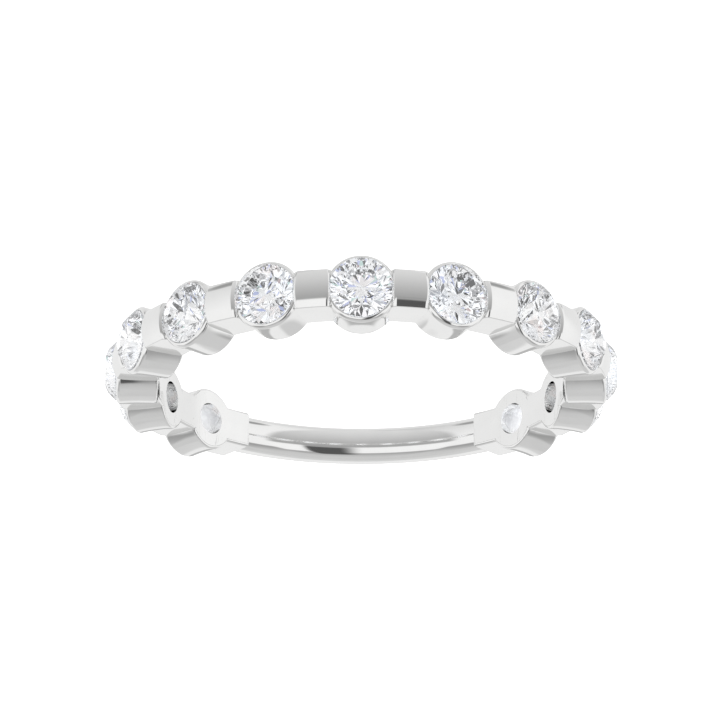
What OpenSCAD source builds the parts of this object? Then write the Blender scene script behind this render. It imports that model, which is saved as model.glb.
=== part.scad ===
// Bar set band: thirteen round stones in round cups, with a crowned bar between each
// two, over about four fifths of the ring, and a plain comfort-fit shank that closes it.
// The origin is the centre of the finger hole, the hole's axis is Z, and the middle
// stone faces -Y, so the ring lies on its side.

/* [Ring] */
// Inside diameter of the finger hole
finger_diameter = 17.3; // [16.9:0.1:17.7]
// Angle from one stone to the next
stone_pitch = 21.6; // [21.4:0.1:22]

/* [Stones] */
// Diameter of each round stone at its girdle
stone_diameter = 2.5; // [2.4:0.05:2.55]
// Diameter of the table facet
table_diameter = 1.42; // [1.3:0.02:1.5]
// Height of the crown, from the girdle's upper edge to the table
crown_height = 0.43; // [0.36:0.01:0.46]
// Thickness of the girdle
girdle_thickness = 0.07; // [0.05:0.01:0.1]
// Depth of the pavilion, from the girdle's lower edge to the culet
pavilion_depth = 1.04; // [1:0.01:1.1]

/* [Bars] */
// Width of the bars along the finger
bar_width = 1.6; // [1.5:0.05:1.7]
// Height of a bar's outer edge above the finger surface
bar_edge_height = 1.8; // [1.75:0.05:1.9]
// Rise of the crowned outer face above that edge
bar_crown_rise = 0.22; // [0.18:0.02:0.26]
// Angle from the middle stone at which the end bars stop, on the finger side
end_bar_angle = 145; // [143:0.2:145.4]

/* [Cups] */
// Outer diameter of a cup at its foot
cup_foot_diameter = 2.74; // [2.7:0.02:2.8]
// Outer diameter of a cup under its rounded lip
cup_lip_diameter = 2.84; // [2.8:0.02:2.9]
// Diameter of the hole under each stone's culet
culet_hole_diameter = 1.38; // [1.2:0.02:1.5]

/* [Shank] */
// Width of the plain shank along the finger
shank_width = 1.58; // [1.5:0.02:1.58]
// Thickness of the plain shank
shank_thickness = 1.25; // [1.1:0.05:1.4]
// Radius of the comfort-fit crown on the finger side
comfort_crown_radius = 1; // [0.95:0.05:1.15]
// Radius of the rounding on the outside
outer_radius = 0.3; // [0.2:0.02:0.4]

/* [Hidden] */
$fn = 96;
stones_each_side = 6;
stone_count = 2 * stones_each_side + 1;
finger_r = finger_diameter / 2;
stone_r = stone_diameter / 2;
table_r = table_diameter / 2;
// The girdle's lower edge, measured from the ring's axis
girdle_r = finger_r + 1.71;
// Clearance between a stone and its seat
seat_gap = 0.02;
crown_slope = crown_height / (stone_r - table_r);
pavilion_slope = pavilion_depth / stone_r;
bar_half = bar_width / 2;
bar_edge_r = finger_r + bar_edge_height;
bar_top_r = bar_edge_r + bar_crown_rise;
dome_r = (bar_half * bar_half + bar_crown_rise * bar_crown_rise) / (2 * bar_crown_rise);
// Small chamfer that breaks every edge on the finger side
edge_break = 0.14;
// How far the bars and cups reach inside the finger surface before the hole is cut
inset = 0.4;
// The shank stands back from the finger surface by this much
shank_recess = 0.05;
// The shank's crown turns by this angle to each side before its corners begin
comfort_turn = 30;
cup_lip_round = 0.2;
cup_lip_top = girdle_r + 0.02;
gap_floor = cup_lip_top + 0.01;
culet_hole_r = culet_hole_diameter / 2;
// Each bar's clip reaches over the stone to this distance from the stone's axis
clip_reach = stone_r - 0.06;
clip_width = 0.08;
clip_top = girdle_r + 0.18;
// The bar's end rolls down to the clip over this length
end_round = 0.15;
// The end bar's end wall leans away from the radial direction
end_wall_lean = 8.4;
// Angle by which the shank runs into the end bars
shank_overlap = 1.2;
// Length by which a cutting shape reaches past what it cuts
cut = 3;
// Steps in which an arc of a profile is drawn
ARC_STEPS = 6;
// Facets of the round brilliant: main facets, and corners round its girdle
MAINS = 8;
GIRDLE_POINTS = 4 * MAINS;
// Where the lower girdle facets end, as a share of the stone's radius
main_share = 0.22;

// Points of an arc about [x, y], between two angles
function arc(x, y, radius, from, to) =
    [for (i = [0:ARC_STEPS]) let (a = from + (to - from) * i / ARC_STEPS)
        [x + radius * cos(a), y + radius * sin(a)]];
function stone_name(i) = str("stone_", i < 10 ? "0" : "", i);

// Puts its children on the seat number n, counted from the middle stone: z points out
// along the seat's own axis, x along the ring and y along the finger
module at_seat(n) {
    rotate([0, 0, n * stone_pitch]) rotate([90, 0, 0]) children();
}

// A stretch of the ring around the given profile, between two angles from the middle stone
module stretch(from, to) {
    rotate([0, 0, from - 90]) rotate_extrude(angle = to - from) children();
}

// Section of a bar: flat sides, broken edges on the finger side and a crowned outer
// face. It reaches inside the finger surface, where the finger hole is cut afterwards.
module bar_section() {
    root = bar_half - edge_break - inset;
    intersection() {
        polygon([
            [finger_r - inset, -root],
            [finger_r + edge_break, -bar_half],
            [bar_top_r + cut, -bar_half],
            [bar_top_r + cut, bar_half],
            [finger_r + edge_break, bar_half],
            [finger_r - inset, root]
        ]);
        translate([bar_top_r - dome_r, 0]) circle(dome_r);
    }
}

// Section of the shank: a crown on the finger side that runs into two deeply rounded
// corners, and two lightly rounded corners on the outside
module shank_section() {
    half = shank_width / 2;
    crown = comfort_crown_radius;
    crown_x = finger_r + shank_recess + crown;
    corner = (half - crown * sin(comfort_turn)) / (1 - sin(comfort_turn));
    corner_x = crown_x - (crown - corner) * cos(comfort_turn);
    outer_x = finger_r + shank_thickness - outer_radius;
    crown_arc = arc(crown_x, 0, crown, 180 - comfort_turn, 180 + comfort_turn);
    polygon(concat(
        [for (i = [1:ARC_STEPS - 1]) crown_arc[i]],
        arc(corner_x, corner - half, corner, 180 + comfort_turn, 270),
        arc(outer_x, outer_radius - half, outer_radius, -90, 0),
        arc(outer_x, half - outer_radius, outer_radius, 0, 90),
        arc(corner_x, half - corner, corner, 90, 180 - comfort_turn)
    ));
}

// All the bars as one stretch; the cups and seats divide it
module bars() {
    difference() {
        stretch(-end_bar_angle - shank_overlap, end_bar_angle + shank_overlap) bar_section();
        for (side = [0, 1]) mirror([side, 0, 0]) end_wall_cut();
    }
}

// What lies beyond the end wall of the end bar
module end_wall_cut() {
    rotate([0, 0, end_bar_angle - 90])
        translate([finger_r, 0, 0])
            rotate([0, 0, -end_wall_lean])
                translate([-cut / 2, 0, -cut / 2])
                    cube([2 * cut, cut, cut]);
}

// One cup before it is bored: it widens from its foot to a rounded lip
module cup() {
    foot_r = cup_foot_diameter / 2;
    lip_r = cup_lip_diameter / 2;
    rotate_extrude() polygon(concat(
        [
            [0, finger_r - inset],
            [foot_r - edge_break - inset, finger_r - inset],
            [foot_r, finger_r + edge_break]
        ],
        arc(lip_r - cup_lip_round, cup_lip_top - cup_lip_round, cup_lip_round, 0, 90),
        [[0, cup_lip_top]]
    ));
}

// What is cut for one stone: the culet hole, the seat under its pavilion, the pocket
// round its girdle and the slope under the clips
module seat() {
    pocket_r = stone_r + seat_gap;
    under = girdle_r - seat_gap * sqrt(1 + pavilion_slope * pavilion_slope);
    over = girdle_r + girdle_thickness + seat_gap * sqrt(1 + crown_slope * crown_slope);
    rotate_extrude() polygon([
        [0, finger_r - cut],
        [culet_hole_r, finger_r - cut],
        [culet_hole_r, under - (stone_r - culet_hole_r) * pavilion_slope],
        [pocket_r, under + seat_gap * pavilion_slope],
        [pocket_r, over - seat_gap * crown_slope],
        [table_r, over + crown_height],
        [0, over + crown_height]
    ]);
}

// What is cut across the bars over one stone: the gap between the clips, the clips'
// flat tops and the rolled ends of the two bars
module bar_gap() {
    shelf = clip_reach + clip_width;
    round_x = shelf + end_round;
    right = concat(
        [[clip_reach, gap_floor], [clip_reach, clip_top]],
        arc(round_x, clip_top - end_round / 2, end_round, 150, 90),
        [[round_x, finger_r + cut]]
    );
    left = [for (i = [len(right) - 1:-1:0]) [-right[i][0], right[i][1]]];
    rotate([90, 0, 0]) linear_extrude(height = 2 * cut, center = true) polygon(concat(right, left));
}

module band() {
    color("silver") union() {
        difference() {
            union() {
                bars();
                for (n = [-stones_each_side:stones_each_side]) at_seat(n) cup();
            }
            cylinder(r = finger_r, h = 2 * cut, center = true);
            for (n = [-stones_each_side:stones_each_side]) at_seat(n) {
                seat();
                bar_gap();
            }
        }
        stretch(end_bar_angle - shank_overlap, 360 + shank_overlap - end_bar_angle) shank_section();
    }
}

// Points of one ring of facet corners, evenly spaced round the stone's axis
function facet_ring(count, radius, z, start = 0) =
    [for (i = [0:count - 1]) let (a = start + i * 360 / count) [radius * cos(a), radius * sin(a), z]];

// Round brilliant cut: the table, stars, kites and upper girdle facets on the crown, and
// the lower girdle facets and mains on the pavilion
module brilliant() {
    girdle_top = girdle_r + girdle_thickness;
    half_step = 180 / MAINS;
    flat = cos(half_step);
    star_r = (table_r * flat + stone_r) / 2;
    main_r = stone_r * main_share;
    points = concat(
        facet_ring(MAINS, table_r, girdle_top + crown_height),
        facet_ring(MAINS, star_r, girdle_top + (stone_r - star_r * flat) * crown_slope, half_step),
        facet_ring(GIRDLE_POINTS, stone_r, girdle_top),
        facet_ring(GIRDLE_POINTS, stone_r, girdle_r),
        facet_ring(MAINS, main_r, girdle_r - (stone_r - main_r * flat) * pavilion_slope, half_step),
        [[0, 0, girdle_r - pavilion_depth]]
    );
    // Number of the first point of each ring
    star = MAINS;
    upper = star + MAINS;
    lower = upper + GIRDLE_POINTS;
    main = lower + GIRDLE_POINTS;
    culet = main + MAINS;
    per_main = GIRDLE_POINTS / MAINS;
    function after(i, count) = (i + 1) % count;
    function before(i) = (i + MAINS - 1) % MAINS;
    faces = concat(
        [[for (i = [MAINS - 1:-1:0]) i]],
        [for (i = [0:MAINS - 1]) [i, after(i, MAINS), star + i]],
        [for (i = [0:MAINS - 1]) [i, star + i, upper + per_main * i, star + before(i)]],
        [for (i = [0:GIRDLE_POINTS - 1])
            [star + floor(i / per_main), upper + after(i, GIRDLE_POINTS), upper + i]],
        [for (i = [0:GIRDLE_POINTS - 1])
            [upper + i, upper + after(i, GIRDLE_POINTS), lower + after(i, GIRDLE_POINTS), lower + i]],
        [for (i = [0:GIRDLE_POINTS - 1])
            [main + floor(i / per_main), lower + i, lower + after(i, GIRDLE_POINTS)]],
        [for (i = [0:MAINS - 1]) [main + i, culet, main + before(i), lower + per_main * i]]
    );
    polyhedron(points, faces);
}

module stone(i) {
    color("aliceblue") at_seat(i - 1 - stones_each_side) brilliant();
}

band();
for (i = [1:stone_count]) stone(i);
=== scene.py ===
# %% [markdown]
# # A bar set band, dressed for its portrait
# The ring lies on its side: the finger's axis is Z, the middle stone faces -Y. The packed
# CAD model gives every size and place. The band of metal is modelled again here with finer
# rounding, because polished metal shows every edge as a line of light. The stones keep
# their CAD shape and get a material of their own.

import math

import bpy
from mathutils import Matrix, Vector


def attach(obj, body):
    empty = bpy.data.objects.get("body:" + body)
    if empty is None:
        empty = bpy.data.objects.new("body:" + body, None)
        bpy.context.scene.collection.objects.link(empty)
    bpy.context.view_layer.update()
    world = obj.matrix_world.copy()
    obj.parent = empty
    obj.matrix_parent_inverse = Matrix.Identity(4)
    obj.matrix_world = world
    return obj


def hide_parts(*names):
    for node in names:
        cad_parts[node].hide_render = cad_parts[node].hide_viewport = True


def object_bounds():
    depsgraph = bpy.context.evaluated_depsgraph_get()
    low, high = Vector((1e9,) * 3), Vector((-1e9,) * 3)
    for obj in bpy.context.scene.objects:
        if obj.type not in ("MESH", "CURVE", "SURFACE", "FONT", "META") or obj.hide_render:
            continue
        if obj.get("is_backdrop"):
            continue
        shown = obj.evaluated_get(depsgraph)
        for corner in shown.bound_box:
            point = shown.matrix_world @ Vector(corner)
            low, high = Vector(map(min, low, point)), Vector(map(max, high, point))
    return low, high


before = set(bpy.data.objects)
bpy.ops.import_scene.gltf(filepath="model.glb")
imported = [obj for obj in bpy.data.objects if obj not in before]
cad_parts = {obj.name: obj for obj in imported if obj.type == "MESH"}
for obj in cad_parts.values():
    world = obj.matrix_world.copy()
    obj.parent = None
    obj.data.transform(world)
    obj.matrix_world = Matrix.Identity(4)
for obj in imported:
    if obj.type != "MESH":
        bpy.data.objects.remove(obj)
cad_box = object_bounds()
MM = 0.001
print("CAD nodes:", len(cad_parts))
print("CAD box in millimetres:", [[round(x / MM, 2) for x in corner] for corner in cad_box])

# %% [markdown]
# ## Small helpers
# An edit operator acts on whatever is selected. So each step first deselects everything,
# and then picks its faces, edges or vertices in code, by their place or their normal.
# The metal is modelled in millimetres, where Blender's merging and cutting work well, and
# is brought to metres at the end.

# %% Selecting
def only(obj):
    """Goes to object mode, with this object selected and no other."""
    if bpy.context.mode != "OBJECT":
        bpy.ops.object.mode_set(mode="OBJECT")
    bpy.ops.object.select_all(action="DESELECT")
    obj.select_set(True)
    bpy.context.view_layer.objects.active = obj
    return obj


def pick(obj, mode, test):
    """Selects the vertices, edges or faces of obj that pass the test, and goes to edit mode."""
    only(obj)
    bpy.ops.object.mode_set(mode="EDIT")
    bpy.ops.mesh.select_mode(type=mode)
    bpy.ops.mesh.select_all(action="DESELECT")
    bpy.ops.object.mode_set(mode="OBJECT")
    mesh = obj.data
    items = {"VERT": mesh.vertices, "EDGE": mesh.edges, "FACE": mesh.polygons}[mode]
    count = 0
    for item in items:
        item.select = bool(test(mesh, item))
        count += item.select
    bpy.ops.object.mode_set(mode="EDIT")
    return count


def everything(mesh, item):
    return True


# %% Making, copying and combining objects
MERGE = 1e-5


def added(name, operator, **settings):
    """Adds a primitive while nothing is selected."""
    bpy.ops.object.select_all(action="DESELECT")
    operator(**settings)
    bpy.context.object.name = name
    return bpy.context.object


def place(obj, matrix):
    """Puts the matrix into the mesh, so the object itself stays at the origin."""
    obj.data.transform(obj.matrix_world)
    obj.matrix_world = Matrix.Identity(4)
    obj.data.transform(matrix)
    return obj


def copy_of(obj, name, matrix):
    twin = obj.copy()
    twin.data = obj.data.copy()
    twin.name = name
    bpy.context.collection.objects.link(twin)
    twin.data.transform(matrix)
    return twin


def join(objects, name):
    only(objects[0])
    for obj in objects:
        obj.select_set(True)
    bpy.ops.object.join()
    objects[0].name = name
    return objects[0]


def combine(obj, tool, operation):
    """Adds or cuts away the tool with a boolean modifier, then deletes the tool."""
    only(obj)
    step = obj.modifiers.new(operation.lower(), "BOOLEAN")
    step.operation = operation
    step.object = tool
    step.solver = "MANIFOLD"
    bpy.ops.object.modifier_apply(modifier=step.name)
    bpy.data.objects.remove(tool)
    return obj


def outward(obj, merge=MERGE):
    """Merges points that coincide and turns all faces outwards."""
    pick(obj, "VERT", everything)
    bpy.ops.mesh.remove_doubles(threshold=merge)
    bpy.ops.mesh.normals_make_consistent(inside=False)
    return only(obj)


def report(obj, what):
    mesh = obj.data
    mesh.calc_loop_triangles()
    seen = {}
    for polygon in mesh.polygons:
        for key in polygon.edge_keys:
            seen[key] = seen.get(key, 0) + 1
    odd = sum(1 for count in seen.values() if count != 2)
    print(f"{what}: {len(mesh.loop_triangles)} triangles, {odd} open edges")


# %% [markdown]
# ## Sizes, in millimetres
# These repeat the named values of the CAD source. FINGER_R, GIRDLE_R, CROWN_R, CUP_TOP and
# the shank's two faces are distances from the ring's axis. The other radii are those of the
# round forms themselves.

# %% Sizes of the stones and their cups
FINGER_R = 8.65
PITCH = math.radians(21.6)
STONES_EACH_SIDE = 6
STONE_R = 1.25
GIRDLE_R = FINGER_R + 1.71
GIRDLE_THICKNESS = 0.07
PAVILION_SLOPE = 1.04 / STONE_R
SEAT_GAP = 0.02
CULET_HOLE = 0.69
CUP_FOOT = 1.37
CUP_LIP = 1.42
CUP_TOP = GIRDLE_R + 0.02
LIP_ROUND = 0.2
# the steps in which every arc round the ring's axis is drawn
ARC = math.radians(0.9)
print("pitch in arc steps:", round(PITCH / ARC, 6))

# %% Sizes of the bars and the shank
BAR_HALF = 0.8
CROWN_R = 10.67
DOME_R = 1.5645
BAR_END = 1.19
BAR_ROLL = 0.2
BROKEN_EDGE = 0.14
CRISP_EDGE = 0.08
END_ANGLE = math.radians(145)
END_LEAN = math.radians(8.4)
WALL_CORNER = 0.13
SHANK_HALF = 0.79
SHANK_IN = FINGER_R + 0.05
SHANK_OUT = 9.9
# the finger side of the shank is a crown between two rounds that touch it smoothly
COMFORT_CROWN = 1.0
COMFORT_TURN = math.radians(30)
COMFORT = (SHANK_HALF - COMFORT_CROWN * math.sin(COMFORT_TURN)) / (1 - math.sin(COMFORT_TURN))
OUTER_ROUND = 0.3
print("shank's side rounds:", round(COMFORT, 3))

# %% [markdown]
# ## The section of a bar
# A bar is a short length of ring wire with flat sides and a crowned outer face. Its section
# is a disc of the crown's radius, trimmed flat on three sides with bisect. That keeps the
# crown a true arc. A vertex bevel rounds the two outer corners a little, so that they catch
# a line of light and still look crisp.

# %% The bar's section
DISC_POINTS = 120
EXACT = 1e-4
NEAR = 1e-3


def trim(obj, point, normal, fill=False):
    """Cuts away what lies on the side to which the normal points."""
    pick(obj, "FACE", everything)
    bpy.ops.mesh.bisect(plane_co=point, plane_no=normal, clear_outer=True, use_fill=fill)
    return only(obj)


def bar_section(root_r, name):
    obj = added(name, bpy.ops.mesh.primitive_circle_add,
                vertices=DISC_POINTS, radius=DOME_R, fill_type="NGON")
    # the disc stands in the plane X = 0, its centre at the crown's centre towards -Y
    upright = Matrix.Rotation(math.pi / 2, 4, "Y")
    place(obj, Matrix.Translation((0, DOME_R - CROWN_R, 0)) @ upright)
    trim(obj, (0, 0, BAR_HALF), (0, 0, 1))
    trim(obj, (0, 0, -BAR_HALF), (0, 0, -1))
    trim(obj, (0, -root_r, 0), (0, 1, 0))
    rim = math.sqrt(DOME_R ** 2 - BAR_HALF ** 2) + CROWN_R - DOME_R

    def outer_corner(mesh, v):
        return abs(abs(v.co.z) - BAR_HALF) < EXACT and abs(-v.co.y - rim) < NEAR

    print("section corners rounded:", pick(obj, "VERT", outer_corner))
    bpy.ops.mesh.bevel(offset=CRISP_EDGE, segments=3, affect="VERTICES", clamp_overlap=False)
    return only(obj)


def spin(obj, angle, steps):
    """Draws a section round the ring's axis."""
    pick(obj, "FACE", everything)
    bpy.ops.mesh.spin(steps=steps, angle=angle, center=(0, 0, 0), axis=(0, 0, 1))
    return outward(obj)


# %% [markdown]
# ## The finger hole and its broken edge
# The finger hole is cut by a cylinder whose facets match the arc steps of the bars. Where
# its surface meets a wall, a jeweller breaks the sharp edge all along. A bevel of that
# outline does the same. It is made on each piece before the pieces are joined, because a
# bevel folds over itself in the sharp corners between a cup and a bar.

# %% Cutting the finger hole
HOLE_MERGE = 1e-4
ON_SURFACE = 2e-3


def cut_finger_hole(obj):
    drill = added("drill", bpy.ops.mesh.primitive_cylinder_add,
                  vertices=round(2 * math.pi / ARC), radius=FINGER_R, depth=6)
    # half a step of turn keeps the joints clear of the cylinder's own edges
    combine(obj, place(drill, Matrix.Rotation(ARC / 2, 4, "Z")), "DIFFERENCE")
    return outward(obj, HOLE_MERGE)


def on_finger(co):
    return abs(math.hypot(co.x, co.y) - FINGER_R) < ON_SURFACE


# %% Breaking the edge
def break_outline(obj, keep_out):
    """Bevels the edges between the finger surface and the walls that rise from it."""
    mesh = obj.data
    kinds = {}
    for f in mesh.polygons:
        inside = all(on_finger(mesh.vertices[i].co) for i in f.vertices)
        for key in f.edge_keys:
            kinds.setdefault(key, []).append(inside)

    def outline(mesh, e):
        a, b = (mesh.vertices[i].co for i in e.vertices)
        return sorted(kinds[tuple(sorted(e.vertices))]) == [False, True] and not keep_out(a, b)

    print(obj.name, "outline edges broken:", pick(obj, "EDGE", outline))
    bpy.ops.mesh.bevel(offset=BROKEN_EDGE, segments=3, affect="EDGES", clamp_overlap=False)
    return only(obj)


def across(co, angle):
    """How far a point lies beyond the section plane at this angle from the middle stone."""
    return co.x * math.cos(angle) + co.y * math.sin(angle)


# %% [markdown]
# ## Half a bar with its rolled end
# Where a bar meets a stone, its crown rolls down to the girdle and holds it. The half bar
# is spun from its middle towards the seat and cut square beside the stone. Then its end
# face is extruded a few times along a quarter circle, sinking as it goes, which is the roll.
# It starts a little longer than needed and is trimmed to the joint at the very end, so that
# the bevel along the finger side runs cleanly through the joint.

# %% Half a bar
HALF_BAR_STEPS = 7
ROLL_STEPS = 7
ROOT_R = FINGER_R - 0.4
SPARE = 1.5 * ARC
CROWN_BAND = 9.6
SUNK_R = CUP_TOP - 0.15
TONGUE_START = SEAT_GAP / 10
TONGUE_END = 0.9
FACES_SEAT = -0.99


def draw_end(obj, step):
    """Draws the bar's end face towards the seat by a step."""
    pick(obj, "FACE", lambda mesh, f: f.normal.x < FACES_SEAT)
    bpy.ops.mesh.extrude_region_move(TRANSFORM_OT_translate={"value": step})
    return only(obj)


def roll_end(obj):
    for i in range(ROLL_STEPS):
        a, b = (math.pi / 2 * k / ROLL_STEPS for k in (i, i + 1))
        inwards = BAR_ROLL * (math.sin(a) - math.sin(b))
        down = BAR_ROLL * (math.cos(a) - math.cos(b))
        draw_end(obj, (inwards, down, 0))


def half_bar():
    obj = bar_section(ROOT_R, "half_bar")
    place(obj, Matrix.Rotation(PITCH / 2 + SPARE, 4, "Z"))
    spin(obj, HALF_BAR_STEPS * ARC, HALF_BAR_STEPS)
    trim(obj, (BAR_END + BAR_ROLL, 0, 0), (-1, 0, 0), fill=True)
    outward(obj)
    roll_end(obj)
    # the end's upper part sinks into the cup, and a tongue beneath reaches the cup's middle
    draw_end(obj, (-TONGUE_START, 0, 0))
    pick(obj, "VERT", lambda mesh, v: v.co.x < BAR_END - TONGUE_START / 2 and -v.co.y > CROWN_BAND)
    bpy.ops.transform.translate(value=(0, CROWN_R - BAR_ROLL - SUNK_R, 0))
    draw_end(obj, (TONGUE_END - BAR_END, 0, 0))
    outward(obj)
    cut_finger_hole(obj)
    break_outline(obj, lambda a, b: abs(a.z - b.z) > NEAR)
    # the spare length takes the bevel's own end with it
    trim(obj, (0, 0, 0), (math.cos(PITCH / 2), math.sin(PITCH / 2), 0), fill=True)
    return outward(obj)


# %% [markdown]
# ## The cup
# A turned cup holds each stone. It starts as a disc at the finger side and is drawn up ring
# by ring: extrude, then resize about the seat's axis. The last rings follow the quarter
# circle of the rounded lip. The jeweller's burr then cuts the seat, so the same cutter is
# drawn up in the same way and taken away with a boolean.

# %% Turned shapes
CUP_POINTS = 96
SAME = 1e-9


def turned(profile, name):
    """Draws a disc up through (radius, distance from the ring's axis) pairs, along -Y."""
    first_r, first_h = profile[0]
    obj = added(name, bpy.ops.mesh.primitive_circle_add,
                vertices=CUP_POINTS, radius=first_r, fill_type="NGON")
    place(obj, Matrix.Translation((0, -first_h, 0)) @ Matrix.Rotation(math.pi / 2, 4, "X"))
    pick(obj, "FACE", everything)
    for (r0, h0), (r1, h1) in zip(profile, profile[1:]):
        bpy.ops.mesh.extrude_region_move(TRANSFORM_OT_translate={"value": (0, h0 - h1, 0)})
        if abs(r1 - r0) > SAME:
            wider = r1 / r0
            bpy.ops.transform.resize(value=(wider, 1, wider), center_override=(0, -h1, 0))
    return outward(obj)


def arc_points(x, y, radius, start, end, steps):
    turns = [math.radians(start + (end - start) * i / steps) for i in range(steps + 1)]
    return [(x + radius * math.cos(a), y + radius * math.sin(a)) for a in turns]


# %% The cup and its seat
FLARE_STEPS = 8
FLARE_FROM = FINGER_R + 0.3
INSIDE_BAR = 0.42
BURR_START = FINGER_R - 1
BURR_TIP = 0.71
BURR_TIP_R = GIRDLE_R + 0.55


def cup():
    rise = CUP_TOP - LIP_ROUND - FLARE_FROM
    flare = [(CUP_FOOT + (CUP_LIP - CUP_FOOT) * (i / FLARE_STEPS) ** 3,
              FLARE_FROM + rise * i / FLARE_STEPS) for i in range(FLARE_STEPS)]
    lip = arc_points(CUP_LIP - LIP_ROUND, CUP_TOP - LIP_ROUND, LIP_ROUND, 0, 90, steps=9)
    obj = turned([(CUP_FOOT, ROOT_R)] + flare + lip, "cup")
    cut_finger_hole(obj)
    # the part of the outline that will lie inside the bars keeps its sharp edge
    return break_outline(obj, lambda a, b: max(abs(a.z), abs(b.z)) < INSIDE_BAR)


def seat_cutter():
    pocket = STONE_R + SEAT_GAP
    under = GIRDLE_R - SEAT_GAP * math.hypot(1, PAVILION_SLOPE)
    return turned([
        (CULET_HOLE, BURR_START),
        (CULET_HOLE, under - (STONE_R - CULET_HOLE) * PAVILION_SLOPE),
        (pocket, under + SEAT_GAP * PAVILION_SLOPE),
        (pocket, GIRDLE_R + GIRDLE_THICKNESS),
        (BURR_TIP, BURR_TIP_R),
    ], "seat_cutter")


# %% [markdown]
# ## One cell of the band
# A cell is a cup with half a bar on each side. It is made once: the two half bars are
# joined to the cup, and the seat is cut through all three, as the burr does it.

# %% One cell
CROWDED = 0.015


def make_cell():
    right = half_bar()
    left = outward(copy_of(right, "left", Matrix.Scale(-1, 4, (1, 0, 0))))
    obj = cup()
    obj.name = "cell"
    combine(obj, right, "UNION")
    combine(obj, left, "UNION")
    combine(obj, seat_cutter(), "DIFFERENCE")
    # where the cup's broken edge meets the bars', crowded points become one
    flat_edge = BAR_HALF - BROKEN_EDGE
    pick(obj, "VERT", lambda mesh, v: on_finger(v.co) and abs(abs(v.co.z) - flat_edge) < EXACT)
    bpy.ops.mesh.remove_doubles(threshold=CROWDED)
    return outward(obj)


cell = make_cell()
report(cell, "cell")

# %% [markdown]
# ## The end bars
# The last bar on each side is a little longer and ends in a wall that leans back. It is
# spun like the other bars, cut by a leaning plane, and the wall's two upright corners are
# rounded with an edge bevel.

# %% An end bar
END_BAR_STEPS = 8


def end_bar():
    start = (STONES_EACH_SIDE + 0.5) * PITCH
    obj = bar_section(ROOT_R, "end_bar")
    place(obj, Matrix.Rotation(start - SPARE, 4, "Z"))
    spin(obj, -END_BAR_STEPS * ARC, END_BAR_STEPS)
    lean = END_ANGLE - END_LEAN
    wall = Vector((math.cos(lean), math.sin(lean), 0))
    foot = Vector((math.sin(END_ANGLE), -math.cos(END_ANGLE), 0)) * FINGER_R
    trim(obj, foot, wall, fill=True)
    outward(obj)

    def wall_corner(mesh, e):
        ends = [mesh.vertices[i].co for i in e.vertices]
        on_wall = all(abs((co - foot).dot(wall)) < NEAR for co in ends)
        return on_wall and all(abs(abs(co.z) - BAR_HALF) < NEAR for co in ends)

    print("wall corners:", pick(obj, "EDGE", wall_corner))
    bpy.ops.mesh.bevel(offset=WALL_CORNER, segments=5, affect="EDGES", clamp_overlap=False)
    cut_finger_hole(only(obj))
    break_outline(obj, lambda a, b: all(abs(across(co, start - SPARE)) < NEAR for co in (a, b)))
    trim(obj, (0, 0, 0), (-math.cos(start), -math.sin(start), 0), fill=True)
    return outward(obj)


# %% [markdown]
# ## The shank
# The plain shank starts from the end walls. Its section is crowned on the finger side and
# lightly rounded outside, for comfort. One vertex is extruded along half of that outline
# and back along the other half, the outline is filled, and the section is spun round the
# back of the ring.

# %% The shank
SHANK_STEPS = 82


def drawn(points, name):
    """A flat face in the plane X = 0, drawn round (distance from the ring's axis, z) pairs."""
    obj = added(name, bpy.ops.mesh.primitive_plane_add, size=1)
    place(obj, Matrix.Translation((0, -points[0][0], points[0][1])))
    pick(obj, "VERT", everything)
    bpy.ops.mesh.merge(type="CENTER")
    for (r0, z0), (r1, z1) in zip(points, points[1:]):
        bpy.ops.mesh.extrude_region_move(TRANSFORM_OT_translate={"value": (0, r0 - r1, z1 - z0)})
    bpy.ops.mesh.select_all(action="SELECT")
    bpy.ops.mesh.edge_face_add()
    return only(obj)


def shank():
    turn = 180 - math.degrees(COMFORT_TURN)
    crown_r = SHANK_IN + COMFORT_CROWN
    comfort_r = crown_r - (COMFORT_CROWN - COMFORT) * math.cos(COMFORT_TURN)
    outer_r = SHANK_OUT - OUTER_ROUND
    half = (arc_points(crown_r, 0, COMFORT_CROWN, 180, turn, steps=6)[:-1]
            + arc_points(comfort_r, SHANK_HALF - COMFORT, COMFORT, turn, 90, steps=12)
            + arc_points(outer_r, SHANK_HALF - OUTER_ROUND, OUTER_ROUND, 90, 0, steps=8))
    obj = drawn([(r, -z) for r, z in half[:0:-1]] + half, "shank")
    place(obj, Matrix.Rotation(math.pi - SHANK_STEPS / 2 * ARC, 4, "Z"))
    return spin(obj, -SHANK_STEPS * ARC, SHANK_STEPS)


def back_of_the_ring():
    right = end_bar()
    left = outward(copy_of(right, "left_end", Matrix.Scale(-1, 4, (1, 0, 0))))
    obj = shank()
    combine(obj, right, "UNION")
    combine(obj, left, "UNION")
    return outward(obj)


back = back_of_the_ring()
report(back, "shank with its end bars")

# %% [markdown]
# ## The whole band
# The cell is copied round the ring, each copy with its own mesh. The flat faces where
# pieces join on are deleted, the points along the joints are merged, and one closed solid
# of metal is left. Joining open ends is quicker and cleaner than thirteen more booleans.

# %% The whole band
JOINT_REACH = 2e-3


def in_joint(co, angles):
    return any(abs(across(co, a)) < JOINT_REACH for a in angles)


def open_joints(obj, angles):
    def joint_face(mesh, f):
        return all(in_joint(mesh.vertices[i].co, angles) for i in f.vertices)

    found = pick(obj, "FACE", joint_face)
    bpy.ops.mesh.delete(type="FACE")
    only(obj)
    return found


def close_joints(obj, angles):
    pick(obj, "VERT", lambda mesh, v: in_joint(v.co, angles))
    bpy.ops.mesh.remove_doubles(threshold=JOINT_REACH)
    return outward(obj)


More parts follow.
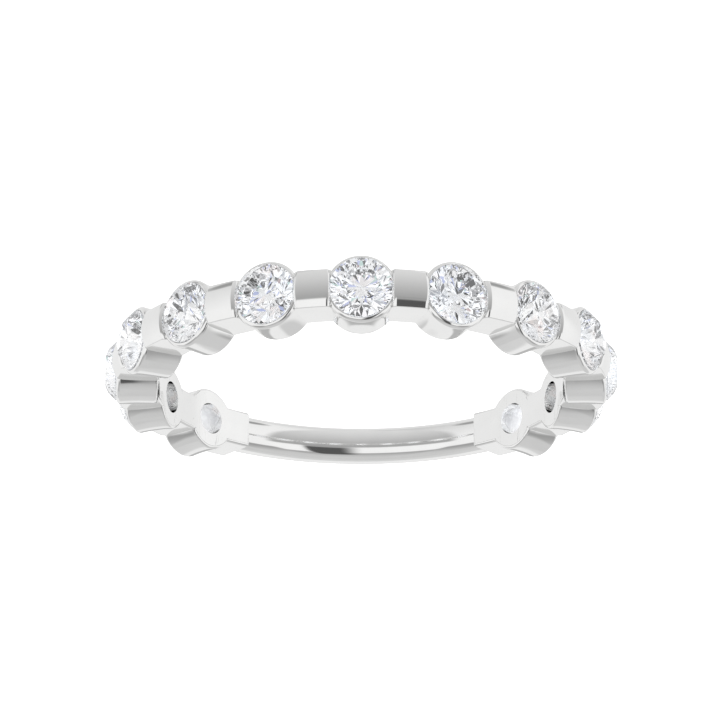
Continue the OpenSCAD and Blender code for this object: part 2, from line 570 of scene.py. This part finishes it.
JOINTS = [(n + 0.5) * PITCH for n in range(-STONES_EACH_SIDE - 1, STONES_EACH_SIDE + 1)]
print("joint faces of the cell:", open_joints(cell, (PITCH / 2, -PITCH / 2)))
print("joint faces of the back:", open_joints(back, (JOINTS[0], JOINTS[-1])))
cells = [copy_of(cell, f"cell_{n:+d}", Matrix.Rotation(n * PITCH, 4, "Z"))
         for n in range(-STONES_EACH_SIDE, STONES_EACH_SIDE + 1)]
bpy.data.objects.remove(cell)
band = join(cells + [back], "band_metal")
close_joints(band, JOINTS)
report(band, "band")

# %% [markdown]
# ## Shading the band
# The band is shaded smooth except across real edges. A weighted normal lets the wide faces
# lead at the corners. The finger surface and the flat sides then get their exact normals,
# because a mirror shows the smallest error of a normal as a dent.

# %% Shading the band
SMOOTH_ANGLE = math.radians(35)
UPRIGHT = 0.9999


def shade_metal(obj):
    only(obj)
    bpy.ops.object.shade_smooth_by_angle(angle=SMOOTH_ANGLE)
    step = obj.modifiers.new("flat faces lead", "WEIGHTED_NORMAL")
    step.keep_sharp = True
    step.weight = 100
    bpy.ops.object.modifier_apply(modifier=step.name)
    mesh = obj.data
    normals = [corner.vector.copy() for corner in mesh.corner_normals]
    true_faces = 0
    for f in mesh.polygons:
        if all(on_finger(mesh.vertices[i].co) for i in f.vertices):
            for i in f.loop_indices:
                co = mesh.vertices[mesh.loops[i].vertex_index].co
                normals[i] = Vector((-co.x, -co.y, 0)).normalized()
            true_faces += 1
        elif abs(f.normal.z) > UPRIGHT:
            for i in f.loop_indices:
                normals[i] = f.normal.copy()
            true_faces += 1
    mesh.normals_split_custom_set(normals)
    print("faces with exact normals:", true_faces)


shade_metal(band)
band.data.transform(Matrix.Scale(MM, 4))
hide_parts("band")
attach(band, "root")

# %% [markdown]
# ## Building materials in code
# A material is a tree of nodes. These helpers add a node, set its sockets by name and join
# numbers or links with a math node, so that each material reads like its formula.

# %% Helpers for nodes
def set_inputs(made, **sockets):
    for key, value in sockets.items():
        made.inputs[key.replace("_", " ")].default_value = value


def node(tree, kind, settings=None, **sockets):
    made = tree.nodes.new(kind)
    for key, value in (settings or {}).items():
        setattr(made, key, value)
    set_inputs(made, **sockets)
    return made


def feed(tree, made, values):
    """Gives a node's first inputs a link or a fixed value each."""
    for socket, value in zip(made.inputs, values):
        if isinstance(value, bpy.types.NodeSocket):
            tree.links.new(value, socket)
        else:
            socket.default_value = value
    return made


def math_node(tree, operation, *values):
    return feed(tree, node(tree, "ShaderNodeMath", {"operation": operation}), values).outputs[0]


def vector_node(tree, operation, *values):
    made = feed(tree, node(tree, "ShaderNodeVectorMath", {"operation": operation}), values)
    return made.outputs["Value" if operation in ("LENGTH", "DOT_PRODUCT") else "Vector"]


def blend(tree, factor, a, b):
    """Mixes two colours, each of them a link, a grey tone or a triple."""
    mix = node(tree, "ShaderNodeMix", {"data_type": "RGBA"})
    tree.links.new(factor, mix.inputs["Factor"])
    for name, value in (("A", a), ("B", b)):
        if isinstance(value, bpy.types.NodeSocket):
            tree.links.new(value, mix.inputs[name])
        else:
            triple = value if isinstance(value, tuple) else (value, value, value)
            mix.inputs[name].default_value = (*triple, 1)
    return mix.outputs["Result"]


def colour_ramp(tree, factor, marks, interpolation="LINEAR"):
    """A ramp through (position, colour) pairs, which are given in order."""
    ramp = node(tree, "ShaderNodeValToRGB")
    ramp.color_ramp.interpolation = interpolation
    stops = ramp.color_ramp.elements
    for stop, (position, colour) in zip(stops, (marks[0], marks[-1])):
        stop.position, stop.color = position, (*colour, 1)
    for position, colour in marks[1:-1]:
        stops.new(position).color = (*colour, 1)
    tree.links.new(factor, ramp.inputs[0])
    return ramp.outputs["Color"]


def new_material(name):
    material = bpy.data.materials.new(name)
    material.use_nodes = True
    return material, material.node_tree, material.node_tree.nodes["Principled BSDF"]


def dress(obj, material):
    obj.data.materials.clear()
    obj.data.materials.append(material)


# %% [markdown]
# ## The polish
# Polished white gold is a mirror, but a worked one. Under a loupe it shows hairlines left
# by the polishing wheel and faint clouds where the rouge bit less. One node group gives
# both as a roughness and a height, so that a metal can set its own amounts.

# %% A node group for the polishing marks
def group(name, inputs, outputs):
    tree = bpy.data.node_groups.new(name, "ShaderNodeTree")
    for label, kind, value in inputs:
        socket = tree.interface.new_socket(label, in_out="INPUT", socket_type=kind)
        if value is not None:
            socket.default_value = value
    for label, kind in outputs:
        tree.interface.new_socket(label, in_out="OUTPUT", socket_type=kind)
    return tree, tree.nodes.new("NodeGroupInput"), tree.nodes.new("NodeGroupOutput")


def polish_marks():
    number = "NodeSocketFloat"
    tree, given, out = group(
        "polishing marks",
        [("Vector", "NodeSocketVector", None), ("Hairlines", number, 0.5), ("Clouds", number, 0.5)],
        [("Roughness", number), ("Height", number), ("Tone", number)])
    link = tree.links.new
    stretched = node(tree, "ShaderNodeMapping", Scale=(1.0, 1.0, 0.06))
    link(given.outputs["Vector"], stretched.inputs["Vector"])
    lines = node(tree, "ShaderNodeTexNoise", Scale=26000.0, Detail=3.0, Roughness=0.6)
    link(stretched.outputs[0], lines.inputs["Vector"])
    clouds = node(tree, "ShaderNodeTexNoise", Scale=900.0, Detail=4.0, Roughness=0.55)
    link(given.outputs["Vector"], clouds.inputs["Vector"])
    hair = math_node(tree, "MULTIPLY", lines.outputs["Fac"], given.outputs["Hairlines"])
    cloud = math_node(tree, "MULTIPLY", clouds.outputs["Fac"], given.outputs["Clouds"])
    link(math_node(tree, "ADD", hair, cloud), out.inputs["Roughness"])
    link(hair, out.inputs["Height"])
    link(clouds.outputs["Fac"], out.inputs["Tone"])
    return tree


# %% The metal
METAL_ROUGHNESS = 0.03
METAL_DARK = (0.84, 0.84, 0.835)
METAL_LIGHT = (0.92, 0.92, 0.915)
# painted light: how strongly the metal glows where it is seen through a stone
SEAT_PAINTED_GLOW = 0.25


def metal_material():
    material, tree, shader = new_material("polished white gold")
    link = tree.links.new
    set_inputs(shader, Metallic=1.0, Emission_Color=(1, 1, 1, 1))
    where = node(tree, "ShaderNodeTexCoord").outputs["Object"]
    marks = node(tree, "ShaderNodeGroup", {"node_tree": polish_marks()},
                 Hairlines=0.02, Clouds=0.06)
    link(where, marks.inputs["Vector"])
    rough = math_node(tree, "ADD", marks.outputs["Roughness"], METAL_ROUGHNESS)
    link(rough, shader.inputs["Roughness"])
    link(blend(tree, marks.outputs["Tone"], METAL_DARK, METAL_LIGHT), shader.inputs["Base Color"])
    bump = node(tree, "ShaderNodeBump", Strength=0.05, Distance=0.000002)
    link(marks.outputs["Height"], bump.inputs["Height"])
    link(bump.outputs["Normal"], shader.inputs["Normal"])
    # painted light: the metal glows for rays that come through a stone,
    # so the bright-cut seat shows bright beneath each stone
    through = node(tree, "ShaderNodeLightPath").outputs["Is Transmission Ray"]
    link(math_node(tree, "MULTIPLY", through, SEAT_PAINTED_GLOW), shader.inputs["Emission Strength"])
    return material


dress(band, metal_material())
print("metal:", band.data.materials[0].name)

# %% [markdown]
# ## The stones
# A cut diamond is clear glass with a very high index of refraction: light bounces inside it
# and leaves by the facets, which makes the black and white play. The facets are the CAD
# model's own. Patches of faint colour stand for the fire that splits white light. A render
# follows a ray for a few bounces only, so the light that is still caught between the facets
# after that is given back as a glow.

# %% Light caught in a stone
CAUGHT_AFTER = 5.5
CAUGHT_GLOW = 0.9


def caught_light(tree, ray_depth, patches):
    late = math_node(tree, "GREATER_THAN", ray_depth, CAUGHT_AFTER)
    return math_node(tree, "MULTIPLY", late, math_node(tree, "MULTIPLY", patches, CAUGHT_GLOW))


# %% [markdown]
# Inside the ring, a stone's pointed back shows through the open culet of its cup. In the
# photo it is soft and pale there, and not a play of facets. So the back is frosted for rays
# that come to it from outside, straight or by the mirror of the hole's wall, and given a
# painted glow: the more it faces the eye, the brighter the glow. Rays that arrive through
# the stone itself don't see this.

# %% A stone's back
BACK_RADIUS = 0.0103  # metres from the ring's axis, just inside the girdles
FIRST_BOUNCES = 2.5
CULET_FROST = 0.6
# the painted glow falls as the back turns from the eye: Facing is 0 head on and 1 edge on
CULET_PAINTED_GLOW = {"From_Min": 0.45, "From_Max": 0.65, "To_Min": 0.3, "To_Max": 0.0}


def culet_frost_and_painted_glow(tree, where, ray_depth):
    """The frost and the painted glow of a stone's back, each 0 for all other rays and places."""
    outward_way = vector_node(tree, "MULTIPLY", where, (1, 1, 0))
    back = math_node(tree, "LESS_THAN", vector_node(tree, "LENGTH", outward_way), BACK_RADIUS)
    early = math_node(tree, "LESS_THAN", ray_depth, FIRST_BOUNCES)
    from_inside = node(tree, "ShaderNodeNewGeometry").outputs["Backfacing"]
    entering = math_node(tree, "MAXIMUM", math_node(tree, "SUBTRACT", early, from_inside), 0.0)
    back_seen_from_outside = math_node(tree, "MULTIPLY", back, entering)
    turned_away = node(tree, "ShaderNodeLayerWeight")
    tree.links.new(vector_node(tree, "NORMALIZE", outward_way), turned_away.inputs["Normal"])
    # painted glow on the stone's back, brightest where the back faces the eye
    pale = node(tree, "ShaderNodeMapRange", **CULET_PAINTED_GLOW)
    tree.links.new(turned_away.outputs["Facing"], pale.inputs["Value"])
    return (math_node(tree, "MULTIPLY", back_seen_from_outside, CULET_FROST),
            math_node(tree, "MULTIPLY", back_seen_from_outside, pale.outputs["Result"]))


# %% The stones' material
STONE_IOR = 2.42
# painted light: faint coloured patches in the stone's colour stand for its fire, the coloured light
# split from white
PAINTED_FIRE = [
    (0.0, (0.90, 0.94, 1.0)), (0.15, (0.99, 0.99, 1.0)), (0.85, (0.99, 1.0, 1.0)),
    (0.93, (1.0, 0.9, 0.87)), (1.0, (0.97, 0.98, 1.0))]


def stone_material():
    material, tree, shader = new_material("clear cut stone")
    link = tree.links.new
    set_inputs(shader, Metallic=0.0, Transmission_Weight=1.0, IOR=STONE_IOR,
               Emission_Color=(0.96, 0.97, 1.0, 1))
    where = node(tree, "ShaderNodeTexCoord").outputs["Object"]
    patches = node(tree, "ShaderNodeTexVoronoi", Scale=1600.0)
    link(where, patches.inputs["Vector"])
    parts = node(tree, "ShaderNodeSeparateColor")
    link(patches.outputs["Color"], parts.inputs[0])
    link(colour_ramp(tree, parts.outputs["Red"], PAINTED_FIRE), shader.inputs["Base Color"])
    ray_depth = node(tree, "ShaderNodeLightPath").outputs["Ray Depth"]
    caught = caught_light(tree, ray_depth, parts.outputs["Green"])
    frost, pale = culet_frost_and_painted_glow(tree, where, ray_depth)
    link(frost, shader.inputs["Roughness"])
    # painted light: the stone glows with its caught light and, on its back, with the painted glow
    link(math_node(tree, "ADD", caught, pale), shader.inputs["Emission Strength"])
    return material


clear_stone = stone_material()
stones = [obj for name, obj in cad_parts.items() if name.startswith("stone")]
for stone in stones:
    dress(stone, clear_stone)
print("stones dressed:", len(stones))

# %% [markdown]
# ## The floor
# The ring rests on a pale floor that glows a little, like the lit table of a light tent, so
# that it shows as white. It isn't mirrored in the metal, which sees the tent instead.

# %% The floor
FLOOR_SIZE = 4
FLOOR_BELOW = 0.00001
FLOOR_GLOW = 1.0
FLOOR_DIM = 0.65


def make_floor():
    floor = added("floor", bpy.ops.mesh.primitive_plane_add,
                  size=FLOOR_SIZE, location=(0, 0, cad_box[0][2] - FLOOR_BELOW))
    material, tree, shader = new_material("pale floor")
    set_inputs(shader, Roughness=0.9, Base_Color=(0.92, 0.92, 0.92, 1),
               Emission_Color=(1, 1, 1, 1))
    # seen through a stone the floor is a little darker
    through = node(tree, "ShaderNodeLightPath").outputs["Is Transmission Ray"]
    dim = math_node(tree, "MULTIPLY", through, FLOOR_DIM)
    tree.links.new(math_node(tree, "SUBTRACT", FLOOR_GLOW, dim), shader.inputs["Emission Strength"])
    floor.data.materials.append(material)
    floor.visible_glossy = False
    floor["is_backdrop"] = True
    return floor


floor = make_floor()
print("floor at", round(floor.location.z / MM, 3), "mm")

# %% [markdown]
# ## The light tent
# A jeweller photographs polished metal in a tent of white cloth, because a mirror shows
# whatever stands round it. The tent here is the world's own colour. Its tone changes from
# the floor up to the roof, and differs in front, at the sides, at the quarters and behind.
# Grey towards the camera and one dark panel give the polish its contrast. A world is
# smoother than lamps: every facet finds a soft tone and none a hard spot.

# %% Directions and soft steps
def sine(degrees):
    return math.sin(math.radians(degrees))


def cosine(degrees):
    return math.cos(math.radians(degrees))


def toward(azimuth, elevation):
    """A direction: azimuth from -Y towards +X, elevation above the floor, in degrees."""
    level = cosine(elevation)
    return (sine(azimuth) * level, -cosine(azimuth) * level, sine(elevation))


def smooth(tree, value, start, end):
    """0 where value is at start, 1 where it is at end, with a soft step between."""
    step = node(tree, "ShaderNodeMapRange", {"interpolation_type": "SMOOTHSTEP"},
                From_Min=start, From_Max=end)
    tree.links.new(value, step.inputs["Value"])
    return step.outputs["Result"]


def window(tree, *limits):
    """1 inside all the limits, each of which is the (value, start, end) of a soft step."""
    inside = smooth(tree, *limits[0])
    for limit in limits[1:]:
        inside = math_node(tree, "MULTIPLY", inside, smooth(tree, *limit))
    return inside


def by_elevation(tree, height, tones):
    """A ramp from straight down to straight up, from (elevation in degrees, tone) pairs."""
    marks = [(0.5 + 0.5 * sine(elevation), (tone, tone, tone)) for elevation, tone in tones]
    return colour_ramp(tree, height, marks)


# %% The tent's tones, as (elevation in degrees, tone)
FRONT_TONES = [
    (-90, 0.8), (-79, 0.78), (-56, 0.72), (-36, 0.64), (-16, 0.54), (5, 0.44), (13, 0.41),
    (17.5, 1.0), (44, 1.0), (52, 0.38), (60, 0.48), (72, 0.58), (90, 0.64)]
SHARED_TOP = [(41, 0.36), (50, 0.42), (58, 0.52), (65, 0.62), (90, 0.66)]
PLUS_SIDE_TONES = [
    (-90, 0.62), (-75, 0.67), (-60, 0.76), (-40, 0.84), (-15, 0.92), (5, 0.98), (33, 0.98),
    *SHARED_TOP]
MINUS_SIDE_TONES = [(-90, 0.75), (-75, 0.84), (-62, 0.95), (-20, 1.0), (33, 0.98), *SHARED_TOP]
QUARTER_TONES = [
    (-90, 0.75), (-60, 0.82), (-20, 0.9), (10, 0.93), (16, 0.9), (22, 0.67), (50, 0.65),
    (66, 0.66), (90, 0.66)]
BACK_TONES = [
    (-90, 0.8), (-60, 0.84), (-20, 0.9), (15.5, 0.92), (28, 0.92), (36, 0.72), (57, 0.7),
    (66, 0.64), (90, 0.66)]
print("tent tones:", len(FRONT_TONES), "in front,", len(BACK_TONES), "behind")

# %% Where the tent's parts begin and end, each as a soft step
PLUS_SIDE = (-0.05, 0.05)
QUARTERS = (0.2, 0.45)
BACK = (0.95, 0.985)
BACK_SKEW = 0.2
FRONT = (-cosine(58), -cosine(50))
# a grey line low at the rear
LINE_LOW = (sine(-4), 0.0)
LINE_HIGH = (sine(15), sine(11))
LINE_REACH = (cosine(16), cosine(8))
LINE_TONE = 0.5
# a dark panel above the camera, on the side of -X
PANEL_NEAR_SIDE = (sine(2), -sine(13))
PANEL_FAR_SIDE = (-sine(36), -sine(31))
PANEL_IN_FRONT = (0.0, -0.2)
PANEL_LOW = (sine(9), sine(22))
PANEL_HIGH = (sine(66), sine(58))
PANEL_TONE = 0.1
# two low shades, left and right, beneath the tent
SHADES_AT = (toward(92, -54), toward(-92, -54))
SHADE_REACH = (cosine(9), cosine(2))
SHADE_TONE = 0.36


# %% The tent, as polished metal sees it
def tent(tree, direction):
    split = node(tree, "ShaderNodeSeparateXYZ")
    tree.links.new(direction, split.inputs[0])
    x, y, z = (split.outputs[axis] for axis in "XYZ")
    height = math_node(tree, "MULTIPLY_ADD", z, 0.5, 0.5)
    level = math_node(tree, "SQRT", math_node(
        tree, "ADD", math_node(tree, "MULTIPLY", x, x), math_node(tree, "MULTIPLY", y, y)))
    away = math_node(tree, "DIVIDE", y, level)
    aside = math_node(tree, "DIVIDE", x, level)
    plus = smooth(tree, aside, *PLUS_SIDE)
    behind = math_node(tree, "ADD", away, math_node(tree, "MULTIPLY", plus, BACK_SKEW))
    tone = blend(tree, plus, by_elevation(tree, height, MINUS_SIDE_TONES),
                 by_elevation(tree, height, PLUS_SIDE_TONES))
    for factor, tones in ((smooth(tree, away, *QUARTERS), QUARTER_TONES),
                          (smooth(tree, behind, *BACK), BACK_TONES),
                          (smooth(tree, away, *FRONT), FRONT_TONES)):
        tone = blend(tree, factor, tone, by_elevation(tree, height, tones))
    line = window(tree, (z, *LINE_LOW), (z, *LINE_HIGH), (away, *LINE_REACH))
    tone = blend(tree, line, tone, LINE_TONE)
    panel = window(tree, (aside, *PANEL_NEAR_SIDE), (aside, *PANEL_FAR_SIDE),
                   (away, *PANEL_IN_FRONT), (z, *PANEL_LOW), (z, *PANEL_HIGH))
    tone = blend(tree, panel, tone, PANEL_TONE)
    for centre in SHADES_AT:
        closeness = vector_node(tree, "DOT_PRODUCT", direction, centre)
        tone = blend(tree, smooth(tree, closeness, *SHADE_REACH), tone, SHADE_TONE)
    return tone


# %% [markdown]
# ## What the stones see
# A white tent alone would leave the stones pale, because every facet would return the same
# white. Their play needs contrast. So rays that leave a stone meet another surround: small
# bright panels with some dark ones and a few tinted ones between, and a dark room beyond
# the tent on both sides.

# %% The surround of the stones
SPARKLE_SCALE = 9.0
SPARKLE = [
    (0.0, (0.0, 0.0, 0.0)), (0.2, (0.12, 0.12, 0.13)), (0.28, (0.42, 0.44, 0.48)),
    (0.38, (0.85, 0.86, 0.87)), (0.58, (1.25, 1.27, 1.3)), (0.93, (0.5, 0.56, 0.85)),
    (0.96, (0.45, 0.32, 0.32)), (0.98, (0.5, 0.7, 0.66))]
SIDE_ROOM = (sine(62), sine(72))
SIDE_ROOM_TONE = 0.05


def sparkle(tree, direction):
    cells = node(tree, "ShaderNodeTexVoronoi", Scale=SPARKLE_SCALE, Randomness=1.0)
    tree.links.new(direction, cells.inputs["Vector"])
    parts = node(tree, "ShaderNodeSeparateColor")
    tree.links.new(cells.outputs["Color"], parts.inputs[0])
    panels = colour_ramp(tree, parts.outputs["Red"], SPARKLE, "CONSTANT")
    split = node(tree, "ShaderNodeSeparateXYZ")
    tree.links.new(direction, split.inputs[0])
    sideways = math_node(tree, "ABSOLUTE", split.outputs["X"])
    return blend(tree, smooth(tree, sideways, *SIDE_ROOM), panels, SIDE_ROOM_TONE)


# %% The world
def make_world():
    world = bpy.data.worlds.new("light tent")
    bpy.context.scene.world = world
    world.use_nodes = True
    tree = world.node_tree
    where = node(tree, "ShaderNodeTexCoord").outputs["Generated"]
    through = node(tree, "ShaderNodeLightPath").outputs["Is Transmission Ray"]
    colour = blend(tree, through, tent(tree, where), sparkle(tree, where))
    tree.links.new(colour, tree.nodes["Background"].inputs["Color"])
    return world


world = make_world()
print("world nodes:", len(world.node_tree.nodes))

# %% [markdown]
# ## The camera
# The photo was taken with a long lens from a little above the ring's side. The camera's
# distance, height and focal length come from fitting the ring's known points to the photo.
# The picture is rolled by half a turn, as in the photo: the far part of the ring is low.

# %% The camera
CAMERA_DISTANCE = 0.1321
CAMERA_ELEVATION = math.radians(19.743)
FOCAL_PIXELS = 3101.8
FRAME_PIXELS = 720
SHIFT_PIXELS = (-1.3, 16.18)
SENSOR = 36


def make_camera():
    data = bpy.data.cameras.new("camera")
    camera = bpy.data.objects.new("camera", data)
    bpy.context.collection.objects.link(camera)
    c, s = math.cos(CAMERA_ELEVATION), math.sin(CAMERA_ELEVATION)
    turn = Matrix(((-1, 0, 0), (0, -s, -c), (0, -c, s))).to_4x4()
    camera.matrix_world = Matrix.Translation((0, -c * CAMERA_DISTANCE, s * CAMERA_DISTANCE)) @ turn
    data.sensor_width = SENSOR
    data.lens = SENSOR * FOCAL_PIXELS / FRAME_PIXELS
    data.shift_x, data.shift_y = (shift / FRAME_PIXELS for shift in SHIFT_PIXELS)
    data.clip_start = MM
    bpy.context.scene.camera = camera
    return camera


camera = make_camera()
print("lens:", round(camera.data.lens, 1), "mm")
bpy.context.scene.view_settings.view_transform = "Standard"

# %% [markdown]
# ## Sizes, printed
# The boxes of the CAD model and of the dressed ring are printed, in millimetres. The
# dressed ring has to stay inside the CAD model's box.

# %% Print the sizes and finish
new_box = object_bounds()
for label, corners in (("CAD", cad_box), ("visual", new_box)):
    print(label, [[round(x / MM, 4) for x in c] for c in corners])
